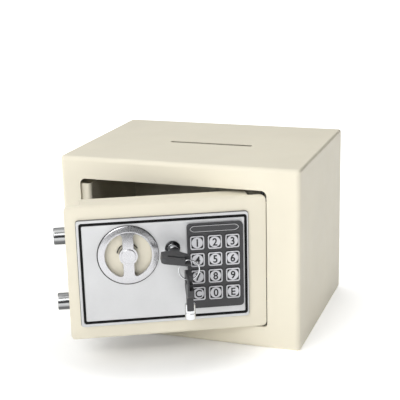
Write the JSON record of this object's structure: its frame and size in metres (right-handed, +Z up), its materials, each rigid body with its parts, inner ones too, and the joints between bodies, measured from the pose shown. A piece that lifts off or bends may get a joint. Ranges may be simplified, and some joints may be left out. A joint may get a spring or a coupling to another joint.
{
  "type": "electronic safe",
  "caption": "Small steel safe with a cash slot, digital keypad, grip knob, twin locking bolts and override keys in its ajar door.",
  "frame": {"origin": "centre of the body's footprint, on the shelf it stands on", "axes": "+Z up; the door faces -Y and hinges at +X; +Y is the back, against the wall"},
  "size_m": [0.23, 0.2479, 0.17],
  "materials": {
    "cream_paint": "fine-textured powder coat",
    "bright_steel": "machined or plated steel",
    "chrome_plate": "satin chrome plate",
    "satin_silver": "satin anodised",
    "black_inlay": "gloss",
    "dark_plastic": "satin moulded",
    "key_grey": "satin moulded",
    "smoked_lens": "clear gloss over grey",
    "circuit_board": "solder mask",
    "copper_winding": "enamelled wire and tape",
    "dark_cover": "fine texture",
    "cell_sleeve": "shrunk sleeve",
    "dark_felt": "pressed felt",
    "red_button": "moulded",
    "blackened_steel": "blackened"
  },
  "bodies": {
    "cabinet": {"body_shell": "cream_paint", "back_panel": "cream_paint", "floor_mat": "dark_felt", "hinge_bracket_upper": "blackened_steel", "hinge_bracket_lower": "blackened_steel"},
    "door": {"door_panel": "cream_paint", "hinge_lug_upper": "blackened_steel", "hinge_lug_lower": "blackened_steel", "bolt_guide": "bright_steel", "fascia": "satin_silver", "fascia_border": "black_inlay", "keypad_bezel": "dark_plastic", "display_lens": "smoked_lens", "keypad_board": "circuit_board", "lock_body": "bright_steel", "lock_nut": "bright_steel", "guide_stud_upper": "bright_steel", "guide_stud_lower": "bright_steel", "solenoid_frame": "bright_steel", "solenoid_coil": "copper_winding", "inner_cover": "dark_cover", "cover_screw_1": "bright_steel", "cover_screw_2": "bright_steel", "cover_screw_3": "bright_steel", "cover_screw_4": "bright_steel", "battery_box": "dark_plastic", "battery_1": "cell_sleeve", "battery_2": "cell_sleeve", "battery_3": "cell_sleeve", "battery_4": "cell_sleeve"},
    "bolt_carriage": {"slide_plate": "bright_steel", "bolt_upper": "bright_steel", "bolt_lower": "bright_steel"},
    "knob_assembly": {"knob": "chrome_plate", "knob_shaft": "bright_steel", "knob_cam": "bright_steel"},
    "override_key": {"lock_plug": "bright_steel", "lock_cam": "bright_steel", "key_barrel": "bright_steel", "key_bow": "dark_plastic"},
    "key_ring_body": {"key_ring": "bright_steel"},
    "spare_key": {"spare_key_bow": "dark_plastic", "spare_key_barrel": "bright_steel"},
    "plunger": {"solenoid_plunger": "bright_steel", "plunger_spring": "bright_steel"},
    "reset_button_body": {"reset_button": "red_button"},
    "battery_cover_body": {"battery_cover": "dark_cover"},
    "button_1": {"keypad_key_1": "key_grey"},
    "button_2": {"keypad_key_2": "key_grey"},
    "button_3": {"keypad_key_3": "key_grey"},
    "button_4": {"keypad_key_4": "key_grey"},
    "button_5": {"keypad_key_5": "key_grey"},
    "button_6": {"keypad_key_6": "key_grey"},
    "button_7": {"keypad_key_7": "key_grey"},
    "button_8": {"keypad_key_8": "key_grey"},
    "button_9": {"keypad_key_9": "key_grey"},
    "button_c": {"keypad_key_c": "key_grey"},
    "button_0": {"keypad_key_0": "key_grey"},
    "button_e": {"keypad_key_e": "key_grey"}
  },
  "joints": [
    {"name": "door_swing", "type": "hinge", "parent": "cabinet", "child": "door", "pos_m": [0.0799, -0.0804, 0.0845], "axis": [0, 0, 1], "range_deg": [-19.5, 65.4]},
    {"name": "knob_turn", "type": "hinge", "parent": "door", "child": "knob_assembly", "pos_m": [-0.02587, -0.13851, 0.1], "axis": [0.4478, -0.8942, 0], "range_deg": [-90, 0]},
    {"name": "bolt_slide", "type": "slide", "parent": "door", "child": "bolt_carriage", "axis": [0.8942, 0.4478, 0], "range_m": [0, 0.0105]},
    {"name": "key_turn", "type": "hinge", "parent": "door", "child": "override_key", "pos_m": [0.00909, -0.12101, 0.1033], "axis": [0.4478, -0.8942, 0], "range_deg": [0, 90]},
    {"name": "plunger_drop", "type": "slide", "parent": "door", "child": "plunger", "axis": [0, 0, -1], "range_m": [0, 0.00455], "deforming": ["plunger_spring"]},
    {"name": "ring_swing", "type": "hinge", "parent": "override_key", "child": "key_ring_body", "pos_m": [0.03356, -0.14644, 0.1023], "axis": [0.4478, -0.8942, 0], "range_deg": [-12, 6]},
    {"name": "spare_key_swing", "type": "hinge", "parent": "key_ring_body", "child": "spare_key", "pos_m": [0.03356, -0.14644, 0.0849], "axis": [-0.8942, -0.4478, 0], "range_deg": [-8, 60]},
    {"name": "press_1", "type": "slide", "parent": "door", "child": "button_1", "axis": [-0.4478, 0.8942, 0], "range_m": [0, 0.0012], "stiffness_N_per_m": 600, "springref_m": -0.0008},
    {"name": "press_2", "type": "slide", "parent": "door", "child": "button_2", "axis": [-0.4478, 0.8942, 0], "range_m": [0, 0.0012], "stiffness_N_per_m": 600, "springref_m": -0.0008},
    {"name": "press_3", "type": "slide", "parent": "door", "child": "button_3", "axis": [-0.4478, 0.8942, 0], "range_m": [0, 0.0012], "stiffness_N_per_m": 600, "springref_m": -0.0008},
    {"name": "press_4", "type": "slide", "parent": "door", "child": "button_4", "axis": [-0.4478, 0.8942, 0], "range_m": [0, 0.0012], "stiffness_N_per_m": 600, "springref_m": -0.0008},
    {"name": "press_5", "type": "slide", "parent": "door", "child": "button_5", "axis": [-0.4478, 0.8942, 0], "range_m": [0, 0.0012], "stiffness_N_per_m": 600, "springref_m": -0.0008},
    {"name": "press_6", "type": "slide", "parent": "door", "child": "button_6", "axis": [-0.4478, 0.8942, 0], "range_m": [0, 0.0012], "stiffness_N_per_m": 600, "springref_m": -0.0008},
    {"name": "press_7", "type": "slide", "parent": "door", "child": "button_7", "axis": [-0.4478, 0.8942, 0], "range_m": [0, 0.0012], "stiffness_N_per_m": 600, "springref_m": -0.0008},
    {"name": "press_8", "type": "slide", "parent": "door", "child": "button_8", "axis": [-0.4478, 0.8942, 0], "range_m": [0, 0.0012], "stiffness_N_per_m": 600, "springref_m": -0.0008},
    {"name": "press_9", "type": "slide", "parent": "door", "child": "button_9", "axis": [-0.4478, 0.8942, 0], "range_m": [0, 0.0012], "stiffness_N_per_m": 600, "springref_m": -0.0008},
    {"name": "press_c", "type": "slide", "parent": "door", "child": "button_c", "axis": [-0.4478, 0.8942, 0], "range_m": [0, 0.0012], "stiffness_N_per_m": 600, "springref_m": -0.0008},
    {"name": "press_0", "type": "slide", "parent": "door", "child": "button_0", "axis": [-0.4478, 0.8942, 0], "range_m": [0, 0.0012], "stiffness_N_per_m": 600, "springref_m": -0.0008},
    {"name": "press_e", "type": "slide", "parent": "door", "child": "button_e", "axis": [-0.4478, 0.8942, 0], "range_m": [0, 0.0012], "stiffness_N_per_m": 600, "springref_m": -0.0008},
    {"name": "reset_press", "type": "slide", "parent": "door", "child": "reset_button_body", "axis": [0.4478, -0.8942, 0], "range_m": [0, 0.0015], "stiffness_N_per_m": 500, "springref_m": -0.0008},
    {"name": "battery_cover_slide", "type": "slide", "parent": "door", "child": "battery_cover_body", "axis": [-0.8942, -0.4478, 0], "range_m": [0, 0.045]}
  ],
  "couplings": [
    {"joint": "bolt_slide", "follows": "knob_turn", "m_per_rad": -0.0066845},
    {"joint": "plunger_drop", "follows": "key_turn", "m_per_rad": 0.002881}
  ]
}
